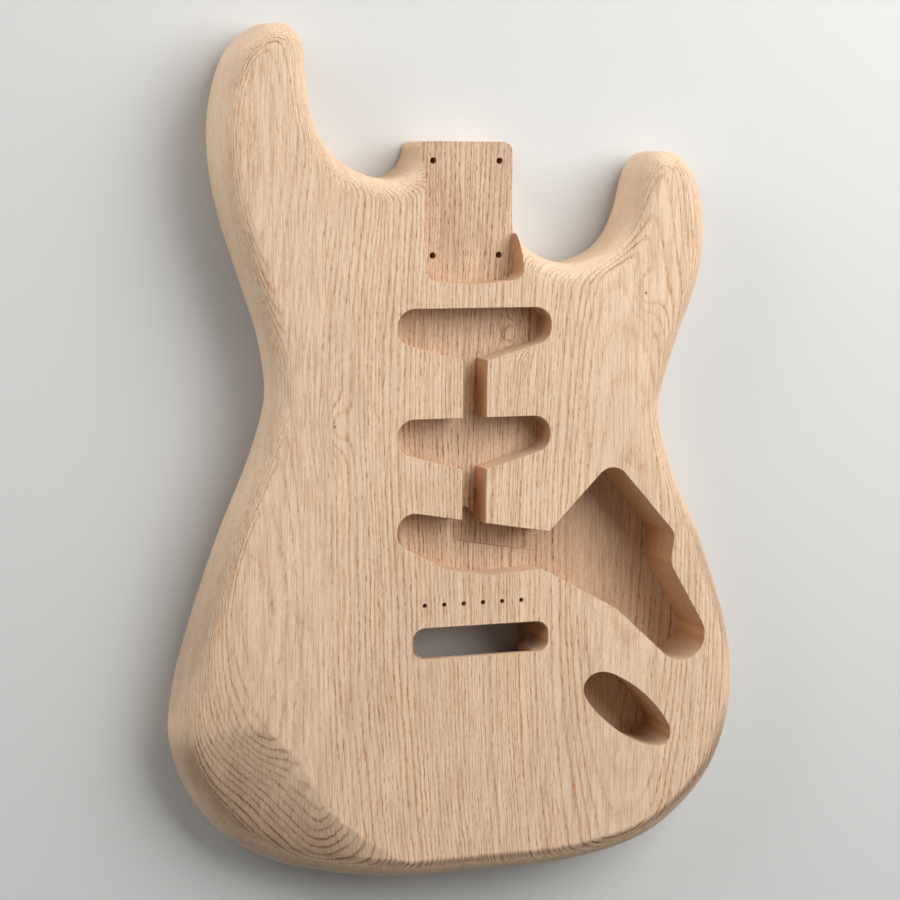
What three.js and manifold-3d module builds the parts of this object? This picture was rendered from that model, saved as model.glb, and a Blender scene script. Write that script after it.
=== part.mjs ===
// Bare double-cutaway guitar body: two edge-glued ash boards, shaped and routed for a bolt-on neck,
// three single-coil pickups, a control plate, an oval jack plate and a spring tremolo.
// Millimetres. The body lies on its back: +Z out of the top face, +Y towards the neck, +X to the treble side.
// The origin is the centre of the four neck bolts, on the back face.
import * as THREE from 'three';
import { mergeVertices } from 'three/addons/utils/BufferGeometryUtils.js';
import Module from 'manifold-3d';

const wasm = await Module();
wasm.setup();

// Body blank
const bodyThickness = 44.5;
const bodyWidth = 323.7;
const bodyLength = 463.2;
const edgeRadiusShare = 0.03923; // radius of the edges, as a share of the width
const glueLineOffset = 1.125; // the boards meet this far to the bass side of the neck line

// Heel and neck pocket
const heelThickness = 28.6;
const heelLength = 35.6; // from the bolt centre to the heel's end
const heelBassSide = 27.9; // from the neck line to the heel's side
const heelTrebleSide = 26.4;
const trebleRootY = -2; // where the treble cutaway leaves the heel's side
const rootStraight = 3; // length of heel side that its curve runs on from
const heelCornerRadius = 5.5;
const heelEdgeRadius = 1.5;
const heelEdgeRun = 16; // the back edge keeps the heel's radius this far into each cutaway
const heelEdgeFade = 42; // and grows from it to the body's radius over this length
const pocketBassSide = 28.1; // from the neck line to the pocket's wall
const pocketTrebleSide = 27.4;
const pocketReach = 40.4; // from the bolt centre to the pocket's end
const pocketCornerRadius = 7;
const pocketEndRadius = 60;
const pocketEndBow = 1.7;
const boltSpacingX = 38.1;
const boltSpacingY = 50.8;
const boltHoleRadius = 1.8;

// Pickup cavities and the wiring channel between them
const coilHalfLength = 44;
const coilEndRadius = 9.6;
const coilEndHeight = 20;
const coilReach = 28; // from the straight edge to the foot of the trapezium
const coilDepth = 16.2;
const channelWidth = 13.46;
const neckCavityY = -53.2;
const middleCavityY = -112.4;
const bridgeCavityX = 1.4;
const bridgeCavityY = -169.3;
const bridgeCavityTilt = -9.7; // degrees
const bridgeFootHalf = 12;
const bridgeFootRadius = 3;
const mouthLength = 46; // from the cavity's middle to its open end, inside the control cavity
const mouthHeight = 20.3;
const wiringStep = 5.3;
const wiringRadius = 6.4;
const wiringLedge = 0.4;

// Control cavity, from its bass side and its tip
const controlX = 41;
const controlY = -142.6;
const controlWall = 21.125; // wood left between the cavity and the widest place of the body's side
const controlHeight = 111.2;
const controlFloor = 6.4;

// Jack cavity
const jackInset = 67.525; // from the widest place of the body's side to the cavity's middle
const jackY = -280.1;
const jackLength = 62.6;
const jackWidth = 25.4;
const jackTilt = -38; // degrees
const jackFloor = 8.5;

// Bridge, tremolo slot and spring cavity
const bridgeScrewY = -213.7;
const bridgeScrewSpacing = 11.2;
const bridgeScrewCount = 6;
const bridgeScrewRadius = 1.3;
const bridgeScrewDepth = 18;
const slotX = 4.7;
const slotY = -234.85;
const slotWidth = 78.6;
const slotHeight = 17;
const slotCornerRadius = 6.8;
const springRoof = 6; // wood left between the springs and the wiring step
const springWidth = 57;
const springEndY = -100;
const blockTopY = -213;
const blockHeight = 39.5;
const springCornerRadius = 6.5;
const slotLip = 4.6; // upright part of the slot's tail wall, which slopes away below
const clawScrewSpacing = 38;
const clawScrewRadius = 1.6;
const clawScrewDepth = 32;

// Drilled ways for the wires
const groundHoleRadius = 2;
const groundHoleY = -188;
const groundHoleRise = 4.6; // above the control cavity's floor
const jackHoleRadius = 4;
const jackHoleRise = 9.6;

// Contours: how far each drops the edge, and how far it reaches in
const forearmDrop = 14;
const forearmReach = 60;
const bellyDrop = 14;
const bellyReach = 88;
const contourPower = 1.35;
const contourLift = 0.15;

// Modelling steps and overruns
const overrun = 6;
const tongueLength = 40;
const outlineSteps = 350;
const chordSteps = 2;
const edgeSteps = 5;
const arcSteps = 7;
const holeSides = 16;
const contourSteps = 7;
const ovalSteps = 60;

const halfWidth = bodyWidth / 2;
const edgeRadius = bodyWidth * edgeRadiusShare;
const controlWidth = halfWidth - glueLineOffset - controlX - controlWall;
const jackX = halfWidth - glueLineOffset - jackInset;
const springDepth = bodyThickness - coilDepth - wiringStep - springRoof;

// Outline of the body on each side, from the bass side of the heel round to its treble side: x as a share of the way
// from the heel's side to the body's side, y as a share of the length from the bolt centre.
const bassShares = [
  [0.0040, 0.0598], [0.0111, 0.0548], [0.0214, 0.0499], [0.0356, 0.0453], [0.0533, 0.0410], [0.0770, 0.0371],
  [0.1066, 0.0343], [0.1436, 0.0337], [0.1932, 0.0356], [0.2480, 0.0404], [0.3065, 0.0486], [0.3829, 0.0686],
  [0.4361, 0.0935], [0.4640, 0.1213], [0.4749, 0.1500], [0.4855, 0.1834], [0.5121, 0.1973], [0.5538, 0.2063],
  [0.6009, 0.2071], [0.6439, 0.2047], [0.7536, 0.1751], [0.8181, 0.1170], [0.8235, 0.0580], [0.7913, -0.0036],
  [0.7206, -0.0751], [0.6481, -0.1476], [0.6234, -0.2074], [0.6356, -0.2336], [0.6940, -0.2900], [0.8055, -0.3748],
  [0.9281, -0.4915], [0.9766, -0.5496], [0.9960, -0.6087], [0.9407, -0.6682], [0.8253, -0.7178], [0.7439, -0.7389],
  [0.5610, -0.7672], [0.3581, -0.7811], [0.1439, -0.7903],
];
const trebleShares = [
  [-0.1329, -0.7925], [0.2804, -0.7897], [0.5909, -0.7693], [0.7632, -0.7375], [0.9022, -0.6917], [0.9790, -0.6361],
  [1.0022, -0.5746], [0.9758, -0.5152], [0.8452, -0.4002], [0.7126, -0.3176], [0.6514, -0.2586], [0.6465, -0.2310],
  [0.6691, -0.2006], [0.7356, -0.1447], [0.8082, -0.0855], [0.8337, -0.0269], [0.7944, 0.0346], [0.7317, 0.0598],
  [0.6874, 0.0659], [0.6411, 0.0670], [0.5931, 0.0630], [0.5612, 0.0516], [0.5380, 0.0379], [0.5006, -0.0039],
  [0.4573, -0.0305], [0.3786, -0.0525], [0.2502, -0.0650], [0.1757, -0.0630], [0.1162, -0.0574], [0.0663, -0.0497],
  [0.0312, -0.0423], [0.0141, -0.0354], [0.0059, -0.0272], [0.0008, -0.0168],
];

// Corner centres of the control cavity, as shares of its width and height from its bass side and its tip, with their
// radii as shares of its width.
const controlPinShares = [
  { x: 0, y: -0.494, r: 0 },
  { x: 0.394, y: -0.789, r: -0.1014 },
  { x: 0.855, y: -0.873, r: 0.143 },
  { x: 0.924, y: -0.477, r: -0.142 },
  { x: 0.715, y: -0.369, r: 0.0811 },
  { x: 0.411, y: -0.09, r: 0.1014 },
  { x: 0.038, y: -0.302, r: 0 },
];

// Half the lengths of the jack cavity carry its outline, from its upper end anticlockwise.
const jackShares = [
  [-0.998, -0.2], [-0.94, -0.5], [-0.82, -0.7], [-0.64, -0.84], [-0.38, -0.95], [-0.08, -1], [0.22, -0.985],
  [0.49, -0.885], [0.72, -0.735], [0.88, -0.54], [0.97, -0.3], [1, 0], [0.945, 0.34], [0.81, 0.58], [0.56, 0.79],
  [0.26, 0.94], [-0.06, 1], [-0.4, 0.95], [-0.69, 0.81], [-0.88, 0.57], [-0.985, 0.2],
];

// Where each contour starts, is deepest and ends, as shares on the bass side like those above.
const forearmShares = { start: [0.668, -0.293], peak: [0.820, -0.717], end: [-0.054, -0.789] };
const bellyShares = { start: [0.817, 0.090], peak: [0.597, -0.225], end: [0.977, -0.560] };

// Closed mesh to solid
function solid(geometry) {
  const bare = new THREE.BufferGeometry();
  bare.setAttribute('position', geometry.getAttribute('position'));
  bare.setIndex(geometry.getIndex());
  const merged = mergeVertices(bare);
  return new wasm.Manifold(new wasm.Mesh({
    numProp: 3,
    vertProperties: new Float32Array(merged.getAttribute('position').array),
    triVerts: new Uint32Array(merged.getIndex().array),
  }));
}

// Solid to closed mesh
function geometryOf(shape) {
  const mesh = shape.getMesh();
  const geometry = new THREE.BufferGeometry();
  geometry.setAttribute('position', new THREE.BufferAttribute(new Float32Array(mesh.vertProperties), mesh.numProp));
  geometry.setIndex(new THREE.BufferAttribute(new Uint32Array(mesh.triVerts), 1));
  return geometry;
}

// Upright prism over a plan outline
function prism(points, bottom, top) {
  const geometry = new THREE.ExtrudeGeometry(new THREE.Shape(points), { depth: top - bottom, bevelEnabled: false });
  geometry.translate(0, 0, bottom);
  return solid(geometry);
}

// Round hole between two points
function hole(start, end, radius) {
  const axis = new THREE.Vector3().subVectors(end, start);
  const geometry = new THREE.CylinderGeometry(radius, radius, axis.length(), holeSides);
  const upright = new THREE.Vector3(0, 1, 0);
  geometry.applyQuaternion(new THREE.Quaternion().setFromUnitVectors(upright, axis.clone().normalize()));
  const centre = new THREE.Vector3().addVectors(start, end).multiplyScalar(1 / 2);
  geometry.translate(centre.x, centre.y, centre.z);
  return solid(geometry);
}

// Outline that runs anticlockwise round pins like a belt. A pin's radius is negative where the belt passes it on the
// outside, and zero for a sharp corner.
function beltOutline(pins) {
  const headings = pins.map((pin, index) => {
    const next = pins[(index + 1) % pins.length];
    const distance = Math.hypot(next.x - pin.x, next.y - pin.y);
    return Math.atan2(next.y - pin.y, next.x - pin.x) + Math.asin((pin.r - next.r) / distance);
  });
  const points = [];
  pins.forEach((pin, index) => {
    const arriving = headings[(index + pins.length - 1) % pins.length];
    const turn = headings[index] - arriving;
    const sweep = Math.atan2(Math.sin(turn), Math.cos(turn));
    const steps = pin.r === 0 ? 0 : arcSteps;
    for (let step = 0; step <= steps; step += 1) {
      const heading = arriving + (steps === 0 ? 0 : sweep * step / steps);
      points.push(new THREE.Vector2(pin.x + pin.r * Math.sin(heading), pin.y - pin.r * Math.cos(heading)));
    }
  });
  return points;
}

// Rectangle with round corners
function roundedRectangle(centreX, centreY, width, height, radius) {
  const dx = width / 2 - radius;
  const dy = height / 2 - radius;
  return beltOutline([
    { x: centreX - dx, y: centreY - dy, r: radius },
    { x: centreX + dx, y: centreY - dy, r: radius },
    { x: centreX + dx, y: centreY + dy, r: radius },
    { x: centreX - dx, y: centreY + dy, r: radius },
  ]);
}

// Point of the outline from its shares, on the side where the heel's side has the given x
function outlinePoint([xShare, yShare], heelX) {
  const bodyX = Math.sign(heelX) * halfWidth - glueLineOffset;
  return new THREE.Vector2(heelX + xShare * (bodyX - heelX), yShare * bodyLength);
}

// Plan outline of the body, anticlockwise, with a tongue that runs past the heel's end
function bodyOutline() {
  const tongueY = heelLength + tongueLength;
  const knots = [
    new THREE.Vector2(-heelBassSide, heelLength - heelCornerRadius),
    ...bassShares.map((shares) => outlinePoint(shares, -heelBassSide)),
    ...trebleShares.map((shares) => outlinePoint(shares, heelTrebleSide)),
    new THREE.Vector2(heelTrebleSide, trebleRootY),
    new THREE.Vector2(heelTrebleSide, trebleRootY + rootStraight),
  ];
  const places = knots.map((knot) => new THREE.Vector3(knot.x, knot.y, 0));
  const curve = new THREE.CatmullRomCurve3(places, false, 'centripetal');
  curve.arcLengthDivisions = outlineSteps ** 2;
  const spaced = curve.getSpacedPoints(outlineSteps).map((point) => new THREE.Vector2(point.x, point.y));
  return [new THREE.Vector2(-heelBassSide, tongueY), ...spaced, new THREE.Vector2(heelTrebleSide, tongueY)];
}

// Directions that point into the body, one long, each square to a short chord so that an offset stays smooth
function inwardDirections(points) {
  return points.map((point, index) => {
    const before = points[Math.max(index - chordSteps, 0)];
    const after = points[Math.min(index + chordSteps, points.length - 1)];
    const along = new THREE.Vector2().subVectors(after, before).normalize();
    return new THREE.Vector2(-along.y, along.x);
  });
}

function smooth(share) {
  const clamped = Math.min(Math.max(share, 0), 1);
  return clamped * clamped * (3 - 2 * clamped);
}

// Arc lengths along a closed outline, from its first point
function arcLengths(points) {
  const lengths = [0];
  for (let index = 1; index < points.length; index += 1) {
    lengths.push(lengths[index - 1] + points[index].distanceTo(points[index - 1]));
  }
  return lengths;
}

// Radius of the back edge at each outline point: small on the heel, the full radius elsewhere
function backRadii(points) {
  const lengths = arcLengths(points);
  const firstRoot = lengths[1] + heelEdgeRun;
  const lastRoot = lengths.at(-2) - heelEdgeRun;
  return lengths.map((length) => {
    const beyond = Math.min(length - firstRoot, lastRoot - length);
    return heelEdgeRadius + (edgeRadius - heelEdgeRadius) * smooth(beyond / heelEdgeFade);
  });
}

// Closed solid from rings of equal length, each closed on itself, with a cap on the first and the last
function ringSolid(rings, capTriangles) {
  const positions = [];
  rings.forEach((ring) => ring.forEach((point) => positions.push(point.x, point.y, point.z)));
  const count = rings[0].length;
  const indices = [];
  for (let level = 0; level < rings.length - 1; level += 1) {
    for (let index = 0; index < count; index += 1) {
      const next = (index + 1) % count;
      const low = level * count;
      const high = low + count;
      indices.push(low + index, low + next, high + next, low + index, high + next, high + index);
    }
  }
  const lastRing = (rings.length - 1) * count;
  capTriangles(rings[0]).forEach(([a, b, c]) => indices.push(c, b, a));
  capTriangles(rings.at(-1)).forEach(([a, b, c]) => indices.push(lastRing + a, lastRing + b, lastRing + c));
  const geometry = new THREE.BufferGeometry();
  geometry.setAttribute('position', new THREE.Float32BufferAttribute(positions, 3));
  geometry.setIndex(indices);
  return solid(geometry);
}

// Cap of a flat ring that lies in plan
function planCap(ring) {
  return THREE.ShapeUtils.triangulateShape(ring.map((point) => new THREE.Vector2(point.x, point.y)), []);
}

// Cap of a ring whose second half runs back over its first
function stripCap(ring) {
  const triangles = [];
  for (let index = 0; index < ring.length / 2 - 1; index += 1) {
    const across = ring.length - 2 - index;
    triangles.push([index, index + 1, across], [index, across, across + 1]);
  }
  return triangles;
}

// One ring of the body's skin: the outline moved in by an amount at each point, at a height at each point
function bodyRing(points, directions, insetAt, heightAt) {
  return points.map((point, index) => {
    const inset = insetAt(index);
    const direction = directions[index];
    return new THREE.Vector3(point.x + inset * direction.x, point.y + inset * direction.y, heightAt(index));
  });
}

// Blank with both edges rounded over
function roundedBlank(points, directions) {
  const radii = backRadii(points);
  const rings = [];
  for (let step = 0; step <= edgeSteps; step += 1) {
    const angle = Math.PI / 2 * step / edgeSteps;
    rings.push(bodyRing(points, directions,
      (index) => radii[index] * (1 - Math.sin(angle)),
      (index) => radii[index] * (1 - Math.cos(angle))));
  }
  for (let step = 0; step <= edgeSteps; step += 1) {
    const angle = Math.PI / 2 * step / edgeSteps;
    rings.push(bodyRing(points, directions,
      () => edgeRadius * (1 - Math.cos(angle)),
      () => bodyThickness - edgeRadius * (1 - Math.sin(angle))));
  }
  return ringSolid(rings, planCap);
}

function nearestIndex(points, target) {
  let best = 0;
  points.forEach((point, index) => {
    if (point.distanceTo(target) < points[best].distanceTo(target)) {
      best = index;
    }
  });
  return best;
}

// Cutter that planes a contour along a stretch of the edge and rounds the new edge over. The face is the height of
// the face that it planes, and up is 1 for the top and -1 for the back.
function contourCutter(points, directions, shares, drop, reach, face, up) {
  const [first, peak, last] = [shares.start, shares.peak, shares.end].map((place) => (
    nearestIndex(points, outlinePoint(place, -heelBassSide))
  ));
  const lengths = arcLengths(points);
  const sections = [];
  for (let index = first; index <= last; index += 1) {
    const turning = index < peak ? lengths[first] : lengths[last];
    const share = smooth((lengths[index] - turning) / (lengths[peak] - turning));
    const depth = drop * share;
    const run = edgeRadius + (reach - edgeRadius) * share;
    const surface = (inset) => {
      const planed = depth * Math.max(1 - inset / run, 0) ** contourPower - contourLift;
      const rounded = edgeRadius - Math.sqrt(edgeRadius ** 2 - Math.max(edgeRadius - inset, 0) ** 2);
      return face - up * (planed + rounded);
    };
    const insets = [-overrun];
    for (let step = 0; step <= edgeSteps; step += 1) {
      insets.push(edgeRadius * (1 - Math.cos(Math.PI / 2 * step / edgeSteps)));
    }
    for (let step = 1; step <= contourSteps; step += 1) {
      insets.push(edgeRadius + (run + overrun - edgeRadius) * step / contourSteps);
    }
    const at = (inset, height) => new THREE.Vector3(
      points[index].x + inset * directions[index].x,
      points[index].y + inset * directions[index].y,
      height,
    );
    const cut = insets.map((inset) => at(inset, surface(Math.max(inset, 0))));
    const waste = insets.map((inset) => at(inset, face + up * overrun)).reverse();
    sections.push([...cut, ...waste]);
  }
  return ringSolid(up > 0 ? sections : sections.reverse(), stripCap);
}

// Quarter turn round a corner of the heel, from its side to its end
function heelCorner(heelX) {
  const inward = -Math.sign(heelX) * heelCornerRadius;
  const points = [];
  for (let step = 0; step <= arcSteps; step += 1) {
    const angle = Math.PI / 2 * step / arcSteps;
    points.push(new THREE.Vector2(
      heelX + inward * (1 - Math.cos(angle)),
      heelLength + heelCornerRadius * (Math.sin(angle) - 1),
    ));
  }
  return points;
}

// Waste beyond the heel's end, which leaves its two corners round
function heelEndCutter() {
  const side = pocketBassSide + overrun;
  const nearY = heelLength - heelCornerRadius;
  const farY = heelLength + tongueLength + overrun;
  const points = [
    new THREE.Vector2(-side, nearY),
    ...heelCorner(-heelBassSide),
    ...heelCorner(heelTrebleSide).reverse(),
    new THREE.Vector2(side, nearY),
    new THREE.Vector2(side, farY),
    new THREE.Vector2(-side, farY),
  ];
  return prism(points, -overrun, bodyThickness + overrun);
}

function pocketCutter() {
  const cornerY = pocketEndBow + pocketCornerRadius - pocketReach;
  const openY = heelLength + tongueLength + overrun;
  const points = beltOutline([
    { x: pocketCornerRadius - pocketBassSide, y: cornerY, r: pocketCornerRadius },
    { x: 0, y: pocketEndRadius - pocketReach, r: pocketEndRadius },
    { x: pocketTrebleSide - pocketCornerRadius, y: cornerY, r: pocketCornerRadius },
    { x: pocketTrebleSide, y: openY, r: 0 },
    { x: -pocketBassSide, y: openY, r: 0 },
  ]);
  return prism(points, heelThickness, bodyThickness + overrun);
}

function boltHoles() {
  const holes = [];
  for (const sideX of [-1, 1]) {
    for (const sideY of [-1, 1]) {
      const x = sideX * boltSpacingX / 2;
      const y = sideY * boltSpacingY / 2;
      holes.push(hole(
        new THREE.Vector3(x, y, -overrun),
        new THREE.Vector3(x, y, heelThickness + overrun),
        boltHoleRadius,
      ));
    }
  }
  return holes;
}

// Pickup cavity whose straight edge lies at the given height
function coilCutter(y) {
  const cornerX = coilHalfLength - coilEndRadius;
  const lowerY = coilEndRadius - coilEndHeight;
  const plan = beltOutline([
    { x: -cornerX, y: y + lowerY, r: coilEndRadius },
    { x: -channelWidth / 2, y: y - coilReach, r: 0 },
    { x: channelWidth / 2, y: y - coilReach, r: 0 },
    { x: cornerX, y: y + lowerY, r: coilEndRadius },
    { x: cornerX, y: y - coilEndRadius, r: coilEndRadius },
    { x: -cornerX, y: y - coilEndRadius, r: coilEndRadius },
  ]);
  return prism(plan, bodyThickness - coilDepth, bodyThickness + overrun);
}

// Place in the plan from one along and across the tilted bridge pickup cavity
function bridgePlace(along, across) {
  const turn = THREE.MathUtils.degToRad(bridgeCavityTilt);
  const origin = new THREE.Vector2(bridgeCavityX, bridgeCavityY);
  return new THREE.Vector2(along, across).rotateAround(new THREE.Vector2(), turn).add(origin);
}

// Bridge pickup cavity, round at its bass end and open to the control cavity at the other
function bridgeCoilCutter() {
  const cornerX = coilHalfLength - coilEndRadius;
  const pins = [
    { x: -cornerX, y: coilEndRadius - coilEndHeight, r: coilEndRadius },
    { x: -bridgeFootHalf, y: bridgeFootRadius - coilReach, r: bridgeFootRadius },
    { x: bridgeFootHalf, y: bridgeFootRadius - coilReach, r: bridgeFootRadius },
    { x: mouthLength, y: -mouthHeight, r: 0 },
    { x: mouthLength, y: 0, r: 0 },
    { x: -cornerX, y: -coilEndRadius, r: coilEndRadius },
  ];
  const plan = beltOutline(pins.map(({ x, y, r }) => ({ ...bridgePlace(x, y), r })));
  return prism(plan, bodyThickness - coilDepth, bodyThickness + overrun);
}

function channelCutter() {
  const half = channelWidth / 2;
  const top = neckCavityY - coilReach / 2;
  const bottom = bridgeCavityY - coilEndRadius;
  const points = [[-half, bottom], [half, bottom], [half, top], [-half, top]];
  const plan = points.map(([x, y]) => new THREE.Vector2(x, y));
  return prism(plan, bodyThickness - coilDepth, bodyThickness + overrun);
}

// Deeper step along the bridge cavity that leads the wires to the control cavity
function wiringCutter() {
  const across = -wiringRadius - wiringLedge;
  const near = bridgePlace(-bridgeCavityX, across);
  const far = bridgePlace(coilHalfLength, across);
  const corner = bridgePlace(channelWidth / 2 - bridgeCavityX, -wiringLedge / 2);
  const plan = beltOutline([
    { x: near.x, y: near.y, r: wiringRadius },
    { x: far.x, y: far.y, r: wiringRadius },
    { x: corner.x, y: corner.y, r: 0 },
    { x: 0, y: bridgeCavityY, r: wiringRadius },
  ]);
  return prism(plan, bodyThickness - coilDepth - wiringStep, bodyThickness - coilDepth + overrun);
}

function controlPins() {
  return controlPinShares.map((pin) => ({
    x: controlX + pin.x * controlWidth,
    y: controlY + pin.y * controlHeight,
    r: pin.r * controlWidth,
  }));
}

function controlCutter() {
  return prism(beltOutline(controlPins()), controlFloor, bodyThickness + overrun);
}

function jackCutter() {
  const turn = THREE.MathUtils.degToRad(jackTilt);
  const places = jackShares.map(([along, across]) => new THREE.Vector3(along * jackLength / 2, across * jackWidth / 2, 0));
  const curve = new THREE.CatmullRomCurve3(places, true, 'centripetal');
  const plan = curve.getSpacedPoints(ovalSteps).slice(1).map((point) => (
    new THREE.Vector2(point.x, point.y).rotateAround(new THREE.Vector2(), turn).add(new THREE.Vector2(jackX, jackY))
  ));
  return prism(plan, jackFloor, bodyThickness + overrun);
}

function bridgeScrewHoles() {
  const holes = [];
  for (let index = 0; index < bridgeScrewCount; index += 1) {
    const x = (index - (bridgeScrewCount - 1) / 2) * bridgeScrewSpacing;
    holes.push(hole(
      new THREE.Vector3(x, bridgeScrewY, bodyThickness - bridgeScrewDepth),
      new THREE.Vector3(x, bridgeScrewY, bodyThickness + overrun),
      bridgeScrewRadius,
    ));
  }
  return holes;
}

function slotCutter() {
  const plan = roundedRectangle(slotX, slotY, slotWidth, slotHeight, slotCornerRadius);
  return prism(plan, -overrun, bodyThickness + overrun);
}

// Space for the springs, which widens to the breadth of the slot for the lower end of the bridge's block
function springCutter() {
  const inset = springCornerRadius;
  const springX = springWidth / 2;
  const blockX = slotWidth / 2;
  const blockEndY = blockTopY - blockHeight;
  const pins = [
    { x: inset - blockX, y: blockEndY + inset, r: inset },
    { x: blockX - inset, y: blockEndY + inset, r: inset },
    { x: blockX - inset, y: blockTopY - inset, r: inset },
    { x: springX, y: blockTopY, r: 0 },
    { x: springX - inset, y: springEndY - inset, r: inset },
    { x: inset - springX, y: springEndY - inset, r: inset },
    { x: -springX, y: blockTopY, r: 0 },
    { x: inset - blockX, y: blockTopY - inset, r: inset },
  ];
  const plan = beltOutline(pins.map((pin) => ({ ...pin, x: slotX + pin.x })));
  return prism(plan, -overrun, springDepth);
}

// Slope on the tail side of the slot that the block swings along, drawn as a section and turned to lie across the body
function blockSlopeCutter() {
  const slotEndY = slotY - slotHeight / 2;
  const blockEndY = blockTopY - blockHeight;
  const slopeTop = bodyThickness - slotLip;
  const section = [[slotY, 0], [slotY, slopeTop], [slotEndY, slopeTop], [blockEndY, 0]];
  const half = slotWidth / 2 - slotCornerRadius;
  const places = [-half, half].map((x) => section.map(([y, z]) => new THREE.Vector3(slotX + x, y, z)));
  return ringSolid(places, (ring) => [[0, 1, 2], [0, 2, 3]]);
}

function clawScrewHoles() {
  return [-1, 1].map((side) => {
    const x = slotX + side * clawScrewSpacing / 2;
    const z = springDepth / 2;
    return hole(
      new THREE.Vector3(x, springEndY - overrun, z),
      new THREE.Vector3(x, springEndY + clawScrewDepth, z),
      clawScrewRadius,
    );
  });
}

// Drilled ways from the springs and from the jack into the control cavity
function wireHoles() {
  const groundZ = controlFloor + groundHoleRise;
  const jackZ = controlFloor + jackHoleRise;
  const [, , controlEnd] = controlPins();
  return [
    hole(
      new THREE.Vector3(slotX + springWidth / 2 - overrun, groundHoleY, groundZ),
      new THREE.Vector3(controlX + overrun, groundHoleY, groundZ),
      groundHoleRadius,
    ),
    hole(
      new THREE.Vector3(controlEnd.x, controlEnd.y, jackZ),
      new THREE.Vector3(jackX, jackY, jackZ),
      jackHoleRadius,
    ),
  ];
}

// Whole shaped and routed body, before it is parted along the glue line
function shapedBody() {
  const points = bodyOutline();
  const directions = inwardDirections(points);
  const cutters = [
    contourCutter(points, directions, forearmShares, forearmDrop, forearmReach, bodyThickness, 1),
    contourCutter(points, directions, bellyShares, bellyDrop, bellyReach, 0, -1),
    heelEndCutter(),
    pocketCutter(),
    ...boltHoles(),
    coilCutter(neckCavityY),
    coilCutter(middleCavityY),
    bridgeCoilCutter(),
    channelCutter(),
    wiringCutter(),
    controlCutter(),
    jackCutter(),
    ...bridgeScrewHoles(),
    slotCutter(),
    springCutter(),
    blockSlopeCutter(),
    ...clawScrewHoles(),
    ...wireHoles(),
  ];
  return cutters.reduce((body, cutter) => body.subtract(cutter), roundedBlank(points, directions));
}

// Half space on one side of the glue line
function boardSpace(side) {
  const seam = -glueLineOffset;
  const far = side * bodyWidth;
  const points = [[seam, -bodyLength], [far, -bodyLength], [far, bodyLength], [seam, bodyLength]];
  return prism(points.map(([x, y]) => new THREE.Vector2(x, y)), -overrun, bodyThickness + overrun);
}

function board(name, body, side, colour) {
  const material = new THREE.MeshStandardMaterial({ color: colour, roughness: 0.75, metalness: 0 });
  const mesh = new THREE.Mesh(geometryOf(body.intersect(boardSpace(side))), material);
  mesh.name = name;
  return mesh;
}

const body = shapedBody();
const guitarBody = new THREE.Group();
guitarBody.name = 'guitar_body';
guitarBody.add(board('bass_side_board', body, -1, 0xdcc0a0));
guitarBody.add(board('treble_side_board', body, 1, 0xd9bb99));

export default guitarBody;
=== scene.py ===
"""Bare electric guitar body: two edge-glued ash boards, shaped and routed, lying on its back on a pale floor.

Sizes are in millimetres and become metres where a mesh is made. The origin is the centre of the four neck
bolts on the back face. +Y points to the neck, +X to the treble side and +Z out of the top.
"""
import logging
from abc import ABC, abstractmethod
from collections.abc import Callable, Sequence
from dataclasses import dataclass, field, fields
from enum import Enum
from functools import reduce
from itertools import accumulate
from math import asin, atan2, cos, hypot, pi, radians, sin, sqrt
from typing import Any

import bmesh
import bpy
from bpy.types import Material, Node, NodeSocket, NodeTree, Object
from mathutils import Matrix, Vector

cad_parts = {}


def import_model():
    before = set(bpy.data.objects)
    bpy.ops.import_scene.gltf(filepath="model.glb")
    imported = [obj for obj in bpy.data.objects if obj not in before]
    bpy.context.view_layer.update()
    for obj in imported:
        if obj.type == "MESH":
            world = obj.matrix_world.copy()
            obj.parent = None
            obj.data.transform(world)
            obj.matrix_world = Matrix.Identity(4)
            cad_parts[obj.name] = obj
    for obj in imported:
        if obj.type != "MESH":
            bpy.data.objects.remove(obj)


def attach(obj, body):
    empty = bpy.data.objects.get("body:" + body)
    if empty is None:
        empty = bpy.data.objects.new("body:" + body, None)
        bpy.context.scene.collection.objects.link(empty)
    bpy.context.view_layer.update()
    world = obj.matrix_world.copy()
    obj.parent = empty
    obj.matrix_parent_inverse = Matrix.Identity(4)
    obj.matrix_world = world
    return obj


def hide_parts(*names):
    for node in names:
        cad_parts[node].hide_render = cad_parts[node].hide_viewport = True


log = logging.getLogger("guitar_body")

MM = 0.001
TINY = 1e-9  # least length that is divided by
OVERRUN = 6.0  # how far a cutter runs on past the wood
OVERLAP = 1.0  # how far a screw hole's cutter starts outside the wood
CORNER_STEPS = 12  # short straights in a round corner of an outline
CURVE_PARTS = 48  # parts of a curve between two knots, before it is spaced out evenly
EDGE_STEPS = 8  # facets in a rounded edge
MITER_LEAST = 0.5  # keeps a sharp corner from running far out as its outline widens
DRILL_SIDES = 32
RIM_RADIUS = 0.55  # radius of the sanded rim of a routed pocket
RIM_ANGLES = (0, 28, 55, 78)  # turns of that rim's facets, in degrees

Plan = list[Vector]
Ring = list[Vector]
Share = tuple[float, float]
Place = tuple[float, float, float]
Colour = tuple[float, float, float, float]


class Side(Enum):
    """The side of the glue line that a board lies on."""

    BASS = -1
    TREBLE = 1


class Face(Enum):
    """A broad face of the body, and the way that it faces along Z."""

    BACK = -1
    TOP = 1


# Plane geometry


@dataclass(frozen=True)
class Pin:
    """A corner centre of an outline. Its radius is negative for a hollow corner and zero for a sharp one."""

    x: float
    y: float
    r: float = 0.0


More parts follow.
